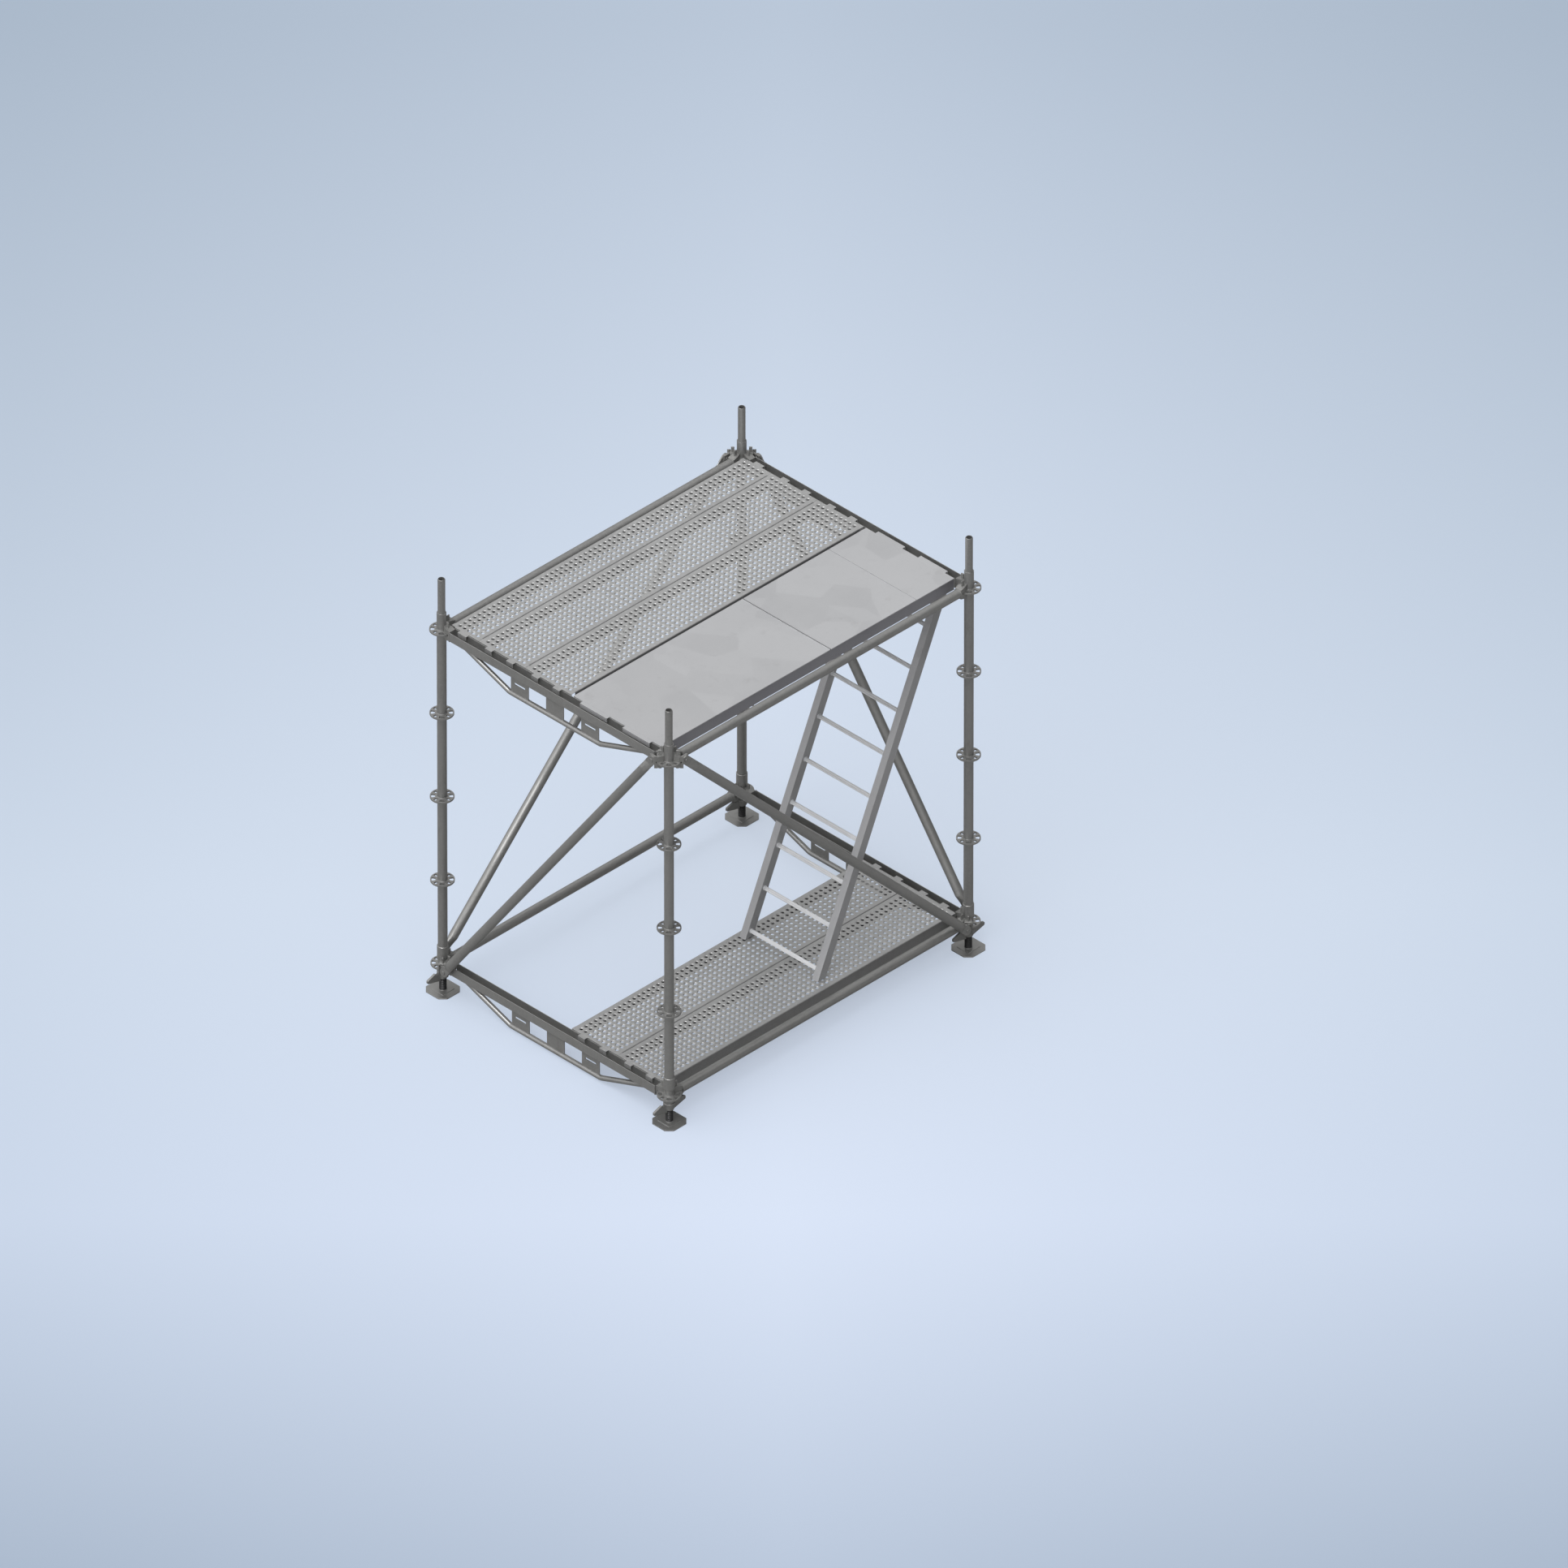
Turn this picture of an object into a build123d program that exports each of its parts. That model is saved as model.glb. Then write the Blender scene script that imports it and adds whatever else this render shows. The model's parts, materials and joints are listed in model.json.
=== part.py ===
from build123d import *
import os
from math import atan2, cos, degrees, radians, sin, tan

# One bay of a modular rosette scaffold on four screw jacks, in millimetres.
# Origin: centre of the bay on the ground. X runs along the decks, Y across them, Z up.

# Bay and levels
BAY_LENGTH = 2072.0          # between standard axes, along X
BAY_WIDTH = 1572.0           # between standard axes, along Y
ROSETTE_PITCH = 500.0
LOWER_LEVEL = 162.0          # height of the lowest rosettes above the ground
LEVELS = [LOWER_LEVEL + ROSETTE_PITCH * n for n in range(5)]
UPPER_LEVEL = LEVELS[-1]

# Main tube
TUBE_R = 24.15
TUBE_WALL = 3.2

# Standards, spigots and base collars, heights measured from a rosette
STANDARD_TOP = 100.0
SPIGOT_R = 19.0
SPIGOT_LENGTH = 200.0
SPIGOT_ROOT_R = TUBE_R - TUBE_WALL - 0.1
SPIGOT_ROOT_LENGTH = 150.0
SPIGOT_WALL = 4.0
SPIGOT_TIP = 5.0
COLLAR_DROP = 42.0
COLLAR_SHOULDER = 42.0
COLLAR_TAPER = 6.0
COLLAR_LEAD_IN = 2.0
COLLAR_SLEEVE_TOP = 108.0
COLLAR_SLEEVE_R = 28.5
COLLAR_BORE_R = TUBE_R + 0.1

# Rosette
ROSETTE_R = 61.0
ROSETTE_THICKNESS = 9.0
HOLE_INNER_R = 34.5
HOLE_OUTER_R = 54.5
SMALL_HOLE_WIDTH = 15.0
LARGE_HOLE_HALF_ANGLE = 17.0
LARGE_HOLE_FILLET = 4.0
SMALL_HOLE_FILLET = 5.0

# Wedge head and wedge, radii measured from the standard's axis
HEAD_FRONT_R = 18.0
HEAD_BACK_R = 75.0
HEAD_SHOULDER_R = 48.0
HEAD_HALF_WIDTH = 19.2
HEAD_HALF_HEIGHT = 34.0
HEAD_BACK_HALF_HEIGHT = 26.0
HEAD_SIDE_GAP = 0.6
HEAD_TUBE_GAP = 0.2
JAW_DEPTH_R = 63.0
JAW_HALF_GAP = 5.0
WEDGE_INNER_R = 36.0
WEDGE_MID_OUTER_R = 49.5
WEDGE_TAPER = 0.05
WEDGE_THICKNESS = 6.0
WEDGE_TOP = 62.0
WEDGE_BOTTOM = -46.0
WEDGE_SLOT_GAP = 0.4
WEDGE_CHAMFER = 1.0

# Vertical braces: the pivot's place from the standard's axis, along and outside the bay's face
PIVOT_ALONG = 62.0
PIVOT_OUT = 56.0
BRACE_HEAD_BACK_R = 57.0
BRACE_HEAD_BACK_HALF_HEIGHT = 30.0
LUG_START = 22.0
LUG_PAST_PIVOT = 18.0
LUG_THICKNESS = 12.0
LUG_HALF_HEIGHT = 24.0
TONGUE_THICKNESS = 8.0
TONGUE_HALF_WIDTH = 24.0
TONGUE_LENGTH = 34.0
TONGUE_GAP = 1.0
BRACE_TAPER_END = 90.0
RIVET_R = 8.0
RIVET_HEAD_R = 11.0
RIVET_HEAD_HEIGHT = 4.0

# Channel ledgers with a strut tube below
CHANNEL_WIDTH = 48.0
CHANNEL_HEIGHT = 53.0
CHANNEL_WALL = 3.0
STRUT_R = 13.45
STRUT_WALL = 2.6
STRUT_DROP = 138.0
STRUT_BEND_Y = 313.0
STRUT_END_Y = 621.0
STRUT_BEND_RADIUS = 50.0
STRUT_SPARE = 0.2            # share of the sloping run that is cut off by the channel
GUSSET_WIDTH = 122.0
GUSSET_PITCH = 243.0
GUSSET_THICKNESS = 4.0
GUSSET_SLOT_LENGTH = 75.0
GUSSET_SLOT_HEIGHT = 11.0
GUSSET_SLOT_DROP = 72.0

# Decks: heights from the rosette level, ends measured inwards from the standards' line
DECK_TOP = 30.0
DECK_BOTTOM = -43.0
DECK_END = 30.0
SHEET_THICKNESS = 2.0
SIDE_INSET = 24.0            # the side channels stop short of the rosettes
SIDE_THICKNESS = 2.0
SIDE_LIP = 24.0
PERFORATION_R = 7.0
PERFORATION_PITCH_X = 33.2
PERFORATION_PITCH_Y = 31.0
PERFORATION_COLUMNS = 60
PERFORATION_MARGIN = 30.0    # least plain strip along each side
HOOK_THICKNESS = 3.5
HOOK_REACH = 5.0             # the hook's tip, inwards from the standards' line
HOOK_DEPTH = 25.0
END_PLATE_INSET = 22.0       # only beside the rear rosettes
END_PLATE_BOTTOM = -40.0
WIDE_DECK = 320.0
NARROW_DECK = 190.0
REAR_MARGIN = 40.0           # rear standards' line to the first upper deck
LOWER_DECK_START = 870.0
SEAM = 1.0
WIDE_HOOKS = (-74.0, 74.0)
WIDE_HOOK_WIDTH = 46.0
NARROW_HOOK_WIDTH = 58.0

# Access deck with hatch
ACCESS_START = 888.0
ACCESS_WIDTH = 608.0
ACCESS_PANEL = 4.0
RAIL_WIDTH = 25.0
RAIL_WALL = 2.5
RAIL_BOTTOM = -38.0
CROSSBAR_WIDTH = 40.0
CROSSBAR_HEIGHT = 40.0
ACCESS_HOOKS = (-147.0, 147.0)
ACCESS_HOOK_WIDTH = 186.0
HATCH_START = 1190.0
HATCH_END = 1787.0
HATCH_GAP = 0.3
HINGE_R = 3.5
HINGE_PIN_R = 1.5
KNUCKLES = 11
KNUCKLE_GAP = 0.5
KNUCKLE_CLEARANCE = 0.5      # between the barrels and the other plate
KNUCKLE_WEB = 3.0
KNUCKLE_WEB_REACH = 1.0
HATCH_END_GAP = 1.5
PIN_CLEARANCE = 0.1
LADDER_BAR_SHIFT = 10.0      # the ladder's crossbar, inwards from the ladder's pivot

# Ladder
LADDER_FOOT = 1180.0         # left standards' line to the foot's centre
LADDER_PIVOT = 2022.0
PIVOT_DROP = 70.0
STILE_DEPTH = 50.0
STILE_WIDTH = 40.0
STILE_WALL = 2.0
STILE_SPARE = 60.0           # run below the foot that is cut off level
STILE_STATIONS = (924.0, 1427.0)
FOOT_GAP = 0.5
RUNG_R = 11.0
RUNG_WALL = 2.0
RUNG_COUNT = 9
RUNG_PITCH = 231.0
FIRST_RUNG = 38.0
HANGER_THICKNESS = 5.0
HANGER_HALF_WIDTH = 16.0
HANGER_GAP = 1.0
LADDER_PIN_R = 6.0
PIN_STAND_OUT = 1.0
PIN_HEAD_R = 10.0
PIN_HEAD_LENGTH = 5.0

# Screw jacks
PLATE_SIDE = 150.0
PLATE_THICKNESS = 5.0
PLATE_CHAMFER = 32.0
PAD_SIDE = 80.0              # raised square under the spindle
PAD_THICKNESS = 3.0
SPINDLE_R = 19.0
SPINDLE_WALL = 4.5
SPINDLE_TOP = 600.0
NUT_R = 30.0
NUT_FOOT_R = 24.0
NUT_HEIGHT = 40.0
NUT_GAP = 0.3
NUT_CHAMFER = 3.0
NUT_THREAD_GAP = 0.4
WING_THICKNESS = 12.0
WING_ROOT_R = 20.5
WING_NOTCH_R = 53.0          # inside this radius the wings turn below the wedges
WING_TIP_R = 108.0
WING_NOTCH_TOP = -47.5
WING_EAR_R = 56.0
WING_EAR_TOP = -38.0
WING_TIP_TOP = -57.0
WING_TIP_BOTTOM = -73.0
WING_ROOT_BOTTOM = -96.0
WING_TIP_FILLET = 4.0

CORNERS = {
    "front_left": (-BAY_LENGTH / 2, -BAY_WIDTH / 2),
    "front_right": (BAY_LENGTH / 2, -BAY_WIDTH / 2),
    "rear_left": (-BAY_LENGTH / 2, BAY_WIDTH / 2),
    "rear_right": (BAY_LENGTH / 2, BAY_WIDTH / 2),
}


def across(station):
    """Y of a station measured from the rear standards' line towards the front."""
    return BAY_WIDTH / 2 - station


def along(station):
    """X of a station measured from the left standards' line towards the right."""
    return station - BAY_LENGTH / 2


def ring(outer_r, inner_r, bottom, top):
    """A round tube standing on Z between two heights."""
    section = Circle(outer_r) - Circle(inner_r)
    return Pos(0, 0, bottom) * extrude(section, top - bottom)


def block(x_range, y_range, z_range):
    """A box from its lowest and highest coordinates."""
    size = [high - low for low, high in (x_range, y_range, z_range)]
    centre = [(high + low) / 2 for low, high in (x_range, y_range, z_range)]
    return Pos(*centre) * Box(*size)


def save(name, *solids):
    """Write one node, made of one or more separate solids."""
    shape = Compound(children=list(solids)) if len(solids) > 1 else solids[0]
    export_step(shape, f"parts/{name}.step")


# ---- Standards ----

def standard():
    return ring(TUBE_R, TUBE_R - TUBE_WALL, LOWER_LEVEL + COLLAR_SHOULDER, UPPER_LEVEL + STANDARD_TOP)


def spigot():
    """The stub that the next standard slides over, with its root inside this standard."""
    tip = SPIGOT_TIP
    shoulder = UPPER_LEVEL + STANDARD_TOP
    bore = SPIGOT_R - SPIGOT_WALL
    outline = Polyline(
        (bore, shoulder - SPIGOT_ROOT_LENGTH),
        (SPIGOT_ROOT_R, shoulder - SPIGOT_ROOT_LENGTH),
        (SPIGOT_ROOT_R, shoulder),
        (SPIGOT_R, shoulder),
        (SPIGOT_R, shoulder + SPIGOT_LENGTH - tip),
        (SPIGOT_R - tip / 2, shoulder + SPIGOT_LENGTH),
        (bore, shoulder + SPIGOT_LENGTH),
        close=True,
    )
    return revolve(Plane.XZ * make_face(outline), Axis.Z)


def base_collar():
    """Lower stub of tube that stands on the jack nut, with the sleeve that takes the standard."""
    stub_bore = TUBE_R - TUBE_WALL
    lead_in = COLLAR_LEAD_IN
    outline = Polyline(
        (stub_bore, LOWER_LEVEL - COLLAR_DROP),
        (TUBE_R, LOWER_LEVEL - COLLAR_DROP),
        (TUBE_R, LOWER_LEVEL + COLLAR_SHOULDER - COLLAR_TAPER),
        (COLLAR_SLEEVE_R, LOWER_LEVEL + COLLAR_SHOULDER),
        (COLLAR_SLEEVE_R, LOWER_LEVEL + COLLAR_SLEEVE_TOP - lead_in),
        (COLLAR_SLEEVE_R - lead_in, LOWER_LEVEL + COLLAR_SLEEVE_TOP),
        (COLLAR_BORE_R, LOWER_LEVEL + COLLAR_SLEEVE_TOP),
        (COLLAR_BORE_R, LOWER_LEVEL + COLLAR_SHOULDER),
        (stub_bore, LOWER_LEVEL + COLLAR_SHOULDER),
        close=True,
    )
    return revolve(Plane.XZ * make_face(outline), Axis.Z)


def rosette():
    """Eight-hole disc at height zero: narrow holes along X and Y, wide ones on the diagonals."""
    disc = Circle(ROSETTE_R) - Circle(TUBE_R)
    middle = (HOLE_INNER_R + HOLE_OUTER_R) / 2
    depth = HOLE_OUTER_R - HOLE_INNER_R
    spread = 2 * HOLE_OUTER_R * tan(radians(LARGE_HOLE_HALF_ANGLE))
    wide = Polygon((0, 0), (2 * HOLE_OUTER_R, -spread), (2 * HOLE_OUTER_R, spread), align=None)
    wide &= Circle(HOLE_OUTER_R) - Circle(HOLE_INNER_R)
    wide = fillet(wide.vertices(), LARGE_HOLE_FILLET)
    narrow = Pos(middle, 0) * RectangleRounded(depth, SMALL_HOLE_WIDTH, SMALL_HOLE_FILLET)
    for quarter in range(4):
        disc -= Rot(0, 0, 90 * quarter) * narrow
        disc -= Rot(0, 0, 90 * quarter + 45) * wide
    return Pos(0, 0, -ROSETTE_THICKNESS / 2) * extrude(disc, ROSETTE_THICKNESS)


# ---- Wedge heads: the rosette's centre is the origin and the head points along +X ----

def wedge_profile(gap):
    """Tapered side outline of the wedge, widened all round by a gap."""
    top = WEDGE_TOP + gap
    bottom = WEDGE_BOTTOM - gap
    inner = WEDGE_INNER_R - gap
    outer_top = WEDGE_MID_OUTER_R + WEDGE_TAPER * top + gap
    outer_bottom = WEDGE_MID_OUTER_R + WEDGE_TAPER * bottom + gap
    points = ((inner, bottom), (outer_bottom, bottom), (outer_top, top), (inner, top))
    return Plane.XZ * Polygon(*points, align=None)


def wedge():
    plate = extrude(wedge_profile(0), WEDGE_THICKNESS / 2, both=True)
    return chamfer(plate.edges().group_by(Axis.Z)[-1], WEDGE_CHAMFER)


def wedge_slot():
    return extrude(wedge_profile(WEDGE_SLOT_GAP), WEDGE_THICKNESS / 2 + WEDGE_SLOT_GAP, both=True)


def jaw():
    """Slot in which the rosette lies."""
    return block((0, JAW_DEPTH_R), (-ROSETTE_R, ROSETTE_R), (-JAW_HALF_GAP, JAW_HALF_GAP))


def head_block(back_r, back_half_height):
    """Casting that grips a rosette, narrow enough for eight to stand round one rosette."""
    slope = tan(radians(22.5))
    front = HEAD_FRONT_R * slope - HEAD_SIDE_GAP
    shoulder = HEAD_SHOULDER_R * slope - HEAD_SIDE_GAP
    plan = Polygon(
        (HEAD_FRONT_R, -front), (HEAD_SHOULDER_R, -shoulder), (back_r, -shoulder),
        (back_r, shoulder), (HEAD_SHOULDER_R, shoulder), (HEAD_FRONT_R, front),
        align=None,
    )
    high = HEAD_HALF_HEIGHT
    side = Polygon(
        (0, -high), (HEAD_SHOULDER_R, -high), (back_r, -back_half_height),
        (back_r, back_half_height), (HEAD_SHOULDER_R, high), (0, high),
        align=None,
    )
    casting = extrude(plan, high, both=True) & extrude(Plane.XZ * side, 2 * HEAD_HALF_WIDTH, both=True)
    casting -= Cylinder(TUBE_R + HEAD_TUBE_GAP, 3 * high)
    return casting - jaw() - wedge_slot()


def ledger_head():
    return head_block(HEAD_BACK_R, HEAD_BACK_HALF_HEIGHT)


def brace_head(hand):
    """Head at 45 degrees to the bay's face, with a lug for the brace's rivet and a cheek before its end.

    Here X runs along the face into the bay and Y out of it; hand mirrors Y.
    """
    casting = Rot(0, 0, 45) * head_block(BRACE_HEAD_BACK_R, BRACE_HEAD_BACK_HALF_HEIGHT)
    face = PIVOT_OUT - TONGUE_THICKNESS / 2
    lug_end = PIVOT_ALONG + LUG_PAST_PIVOT
    lug = block((LUG_START, lug_end), (face - LUG_THICKNESS, face), (-LUG_HALF_HEIGHT, LUG_HALF_HEIGHT))
    lug -= Rot(0, 0, 45) * wedge_slot()
    lug -= Rot(0, 0, 45) * jaw()
    casting += lug
    casting -= block((0, 2 * lug_end), (face, 2 * face), (-lug_end, lug_end))
    cheek_end = PIVOT_ALONG - TONGUE_HALF_WIDTH - TONGUE_GAP
    cheek = Rot(0, 0, 45) * head_block(HEAD_BACK_R, HEAD_HALF_HEIGHT)
    casting += cheek & block((0, cheek_end), (face, 2 * face), (-HEAD_HALF_HEIGHT, HEAD_HALF_HEIGHT))
    casting -= Pos(PIVOT_ALONG, PIVOT_OUT, 0) * Rot(90, 0, 0) * Cylinder(RIVET_R, 100)
    return casting if hand > 0 else mirror(casting, Plane.XZ)


def brace_rivet(hand):
    """Rivet through the lug and the brace's tongue, in the same axes as the head."""
    inner = PIVOT_OUT - TONGUE_THICKNESS / 2 - LUG_THICKNESS
    outer = PIVOT_OUT + TONGUE_THICKNESS / 2
    shank = Pos(0, 0, inner) * extrude(Circle(RIVET_R), outer - inner)
    inner_head = Pos(0, 0, inner - RIVET_HEAD_HEIGHT) * extrude(Circle(RIVET_HEAD_R), RIVET_HEAD_HEIGHT)
    outer_head = Pos(0, 0, outer) * extrude(Circle(RIVET_HEAD_R), RIVET_HEAD_HEIGHT)
    rivet = Pos(PIVOT_ALONG, 0, 0) * Rot(-90, 0, 0) * (shank + inner_head + outer_head)
    return rivet if hand > 0 else mirror(rivet, Plane.XZ)


# ---- Members between standards ----

def ledger_tube():
    half = BAY_LENGTH / 2 - HEAD_BACK_R
    return Rot(0, 90, 0) * ring(TUBE_R, TUBE_R - TUBE_WALL, -half, half)


def channel():
    """Open-topped channel along Y that the deck hooks drop into."""
    half = BAY_WIDTH / 2 - HEAD_BACK_R
    inside = CHANNEL_WIDTH / 2 - CHANNEL_WALL
    high = CHANNEL_HEIGHT / 2
    body = block((-CHANNEL_WIDTH / 2, CHANNEL_WIDTH / 2), (-half, half), (-high, high))
    return body - block((-inside, inside), (-half, half), (CHANNEL_WALL - high, high))


def channel_strut():
    """Bent tube below the channel, cut off square against the channel's underside."""
    underside = -CHANNEL_HEIGHT / 2
    run = STRUT_END_Y - STRUT_BEND_Y
    rise = STRUT_DROP + underside
    end = (STRUT_END_Y + STRUT_SPARE * run, underside + STRUT_SPARE * rise)
    path = FilletPolyline(
        (0, -end[0], end[1]), (0, -STRUT_BEND_Y, -STRUT_DROP),
        (0, STRUT_BEND_Y, -STRUT_DROP), (0, end[0], end[1]),
        radius=STRUT_BEND_RADIUS,
    )
    start = Plane(origin=path @ 0, z_dir=path % 0)
    solid_bar = sweep(start * Circle(STRUT_R), path=path)
    bore = sweep(start * Circle(STRUT_R - STRUT_WALL), path=path)
    above = block((-CHANNEL_WIDTH, CHANNEL_WIDTH), (-BAY_WIDTH, BAY_WIDTH), (underside, STRUT_DROP))
    return (solid_bar - bore) - above


def gusset(slotted):
    top = -CHANNEL_HEIGHT / 2
    bottom = STRUT_R - STRUT_DROP
    half_width = GUSSET_WIDTH / 2
    half_thick = GUSSET_THICKNESS / 2
    plate = block((-half_thick, half_thick), (-half_width, half_width), (bottom, top))
    if slotted:
        slot = SlotOverall(GUSSET_SLOT_LENGTH, GUSSET_SLOT_HEIGHT)
        plate -= Pos(0, 0, -GUSSET_SLOT_DROP) * extrude(Plane.YZ * slot, GUSSET_THICKNESS, both=True)
    return plate


def brace_tube(length):
    """Brace standing on Z from its lower pivot, ends pressed flat across X for the rivets."""
    half_thick = TONGUE_THICKNESS / 2
    flat = Circle(TONGUE_HALF_WIDTH)
    flat += Pos(0, TONGUE_LENGTH / 2) * Rectangle(2 * TONGUE_HALF_WIDTH, TONGUE_LENGTH)
    tongue = extrude(Plane.YZ * flat, half_thick, both=True)
    tongue -= Rot(0, 90, 0) * Cylinder(RIVET_R, 4 * half_thick)
    pressed = Pos(0, 0, TONGUE_LENGTH) * Ellipse(half_thick, TONGUE_HALF_WIDTH)
    round_end = Pos(0, 0, BRACE_TAPER_END) * Circle(TUBE_R)
    end = tongue + loft([pressed, round_end])
    middle = ring(TUBE_R, TUBE_R - TUBE_WALL, BRACE_TAPER_END, length - BRACE_TAPER_END)
    return end + middle + Pos(0, 0, length) * Rot(180, 0, 0) * end


# ---- Decks, centred on X and Y with their heights from the rosette level ----

def perforated_sheet(length, width):
    """Tread sheet with a square grid of holes."""
    rows = int((width - 2 * PERFORATION_MARGIN) // PERFORATION_PITCH_Y) + 1
    hole = Wire.make_circle(PERFORATION_R)
    grid = GridLocations(PERFORATION_PITCH_X, PERFORATION_PITCH_Y, PERFORATION_COLUMNS, rows)
    holes = [place * hole for place in grid]
    face = Face(Wire.make_rect(length, width), holes)
    return Pos(0, 0, DECK_TOP - SHEET_THICKNESS) * Solid.extrude(face, Vector(0, 0, SHEET_THICKNESS))


def side_channel(length, width, side):
    """Formed side of a deck under the sheet, with an inward lip at its foot."""
    outer = side * width / 2
    inner = outer - side * SIDE_THICKNESS
    lip = outer - side * SIDE_LIP
    foot = DECK_BOTTOM + SIDE_THICKNESS
    top = DECK_TOP - SHEET_THICKNESS
    section = Polygon(
        (outer, top), (outer, DECK_BOTTOM), (lip, DECK_BOTTOM), (lip, foot), (inner, foot), (inner, top),
        align=None,
    )
    return extrude(Plane.YZ * section, length / 2 - SIDE_INSET, both=True)


def deck(width):
    length = BAY_LENGTH - 2 * DECK_END
    sides = [side_channel(length, width, side) for side in (-1, 1)]
    return [perforated_sheet(length, width)] + sides


def deck_hook(width, hook_offsets, hook_width, rear_inset=0.0):
    """Left end plate of a deck with the claws that drop into the channel ledger."""
    end = along(DECK_END)
    tip = along(HOOK_REACH)
    plate = (-width / 2, width / 2 - rear_inset)
    under = DECK_TOP - HOOK_THICKNESS
    piece = block((end - HOOK_THICKNESS, end), plate, (END_PLATE_BOTTOM, DECK_TOP))
    for offset in hook_offsets:
        span = (offset - hook_width / 2, offset + hook_width / 2)
        piece += block((tip, end), span, (under, DECK_TOP))
        piece += block((tip, tip + HOOK_THICKNESS), span, (DECK_TOP - HOOK_DEPTH, DECK_TOP))
    return piece


def both_ends(piece):
    return [piece, mirror(piece, Plane.YZ)]


# ---- Access deck ----

def access_rail(side):
    """Rectangular side tube of the access deck."""
    top = DECK_TOP - ACCESS_PANEL
    outer = side * ACCESS_WIDTH / 2
    centre_y = outer - side * RAIL_WIDTH / 2
    height = top - RAIL_BOTTOM
    section = Rectangle(RAIL_WIDTH, height) - Rectangle(RAIL_WIDTH - 2 * RAIL_WALL, height - 2 * RAIL_WALL)
    half = BAY_LENGTH / 2 - DECK_END
    rail = extrude(Plane.YZ * section, half, both=True)
    return Pos(0, centre_y, (top + RAIL_BOTTOM) / 2) * rail


def crossbar(centre_station):
    """Square tube across the access deck between its rails, under the panels."""
    top = DECK_TOP - ACCESS_PANEL
    half = ACCESS_WIDTH / 2 - RAIL_WIDTH
    outer = Rectangle(CROSSBAR_WIDTH, CROSSBAR_HEIGHT)
    inner = Rectangle(CROSSBAR_WIDTH - 2 * RAIL_WALL, CROSSBAR_HEIGHT - 2 * RAIL_WALL)
    bar = extrude(Plane.XZ * (outer - inner), half, both=True)
    return Pos(along(centre_station), 0, top - CROSSBAR_HEIGHT / 2) * bar


def knuckle_spans(parity):
    """Y ranges of every second hinge knuckle."""
    pitch = ACCESS_WIDTH / KNUCKLES
    for index in range(parity, KNUCKLES, 2):
        low = index * pitch - ACCESS_WIDTH / 2
        yield low + KNUCKLE_GAP / 2, low + pitch - KNUCKLE_GAP / 2


def knuckles(parity, toward):
    """Hinge knuckles on the tread's surface line, joined to the plate on one side."""
    hinge_x = along(HATCH_START)
    parts = []
    for low, high in knuckle_spans(parity):
        middle = Pos(hinge_x, (low + high) / 2, DECK_TOP) * Rot(90, 0, 0)
        barrel = middle * Cylinder(HINGE_R, high - low)
        edge = sorted((hinge_x, hinge_x + toward * (HINGE_R + KNUCKLE_WEB_REACH)))
        web = block(edge, (low, high), (DECK_TOP - KNUCKLE_WEB, DECK_TOP))
        bore = middle * Cylinder(HINGE_PIN_R + PIN_CLEARANCE, high - low)
        parts.append((barrel + web) - bore)
    return parts


def plate_with_knuckles(start, end, bottom, parity, toward):
    half = ACCESS_WIDTH / 2
    plate = block((along(start), along(end)), (-half, half), (bottom, DECK_TOP))
    for knuckle in knuckles(parity, toward):
        plate += knuckle
    return plate


def fixed_panels():
    """Tread plates either side of the hatch; the longer one carries the fixed knuckles."""
    bottom = DECK_TOP - ACCESS_PANEL
    edge = HATCH_START - HINGE_R - KNUCKLE_CLEARANCE
    long_panel = plate_with_knuckles(DECK_END, edge, bottom, 0, -1)
    half = ACCESS_WIDTH / 2
    short_panel = block((along(HATCH_END), along(BAY_LENGTH - DECK_END)), (-half, half), (bottom, DECK_TOP))
    return [long_panel, short_panel]


def hatch():
    bottom = DECK_TOP - ACCESS_PANEL + HATCH_GAP
    start = HATCH_START + HINGE_R + KNUCKLE_CLEARANCE
    return plate_with_knuckles(start, HATCH_END - HATCH_END_GAP, bottom, 1, 1)


def hatch_pin():
    pin = Rot(90, 0, 0) * Cylinder(HINGE_PIN_R, ACCESS_WIDTH)
    return Pos(along(HATCH_START), 0, DECK_TOP) * pin


# ---- Ladder, in the finished part's own X and Z, with Y from the stiles' stations ----

FOOT_X = along(LADDER_FOOT)
FOOT_Z = LOWER_LEVEL + DECK_TOP + FOOT_GAP
PIVOT_X = along(LADDER_PIVOT)
PIVOT_Z = UPPER_LEVEL - PIVOT_DROP
LADDER_LEAN = degrees(atan2(PIVOT_X - FOOT_X, PIVOT_Z - FOOT_Z))
LADDER_REACH = (PIVOT_Z - FOOT_Z) / cos(radians(LADDER_LEAN))


def on_ladder(shape):
    """Stand a shape made along Z from the foot up on the ladder's line."""
    return Pos(FOOT_X, 0, FOOT_Z) * Rot(0, LADDER_LEAN, 0) * shape


def stile_bar(depth, width, end_r):
    """Straight bar with a round top about the pivot, running on below the foot."""
    side = Pos(0, (LADDER_REACH - STILE_SPARE) / 2) * Rectangle(depth, LADDER_REACH + STILE_SPARE)
    side += Pos(0, LADDER_REACH) * Circle(end_r)
    return extrude(Plane.XZ * side, width / 2, both=True)


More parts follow.
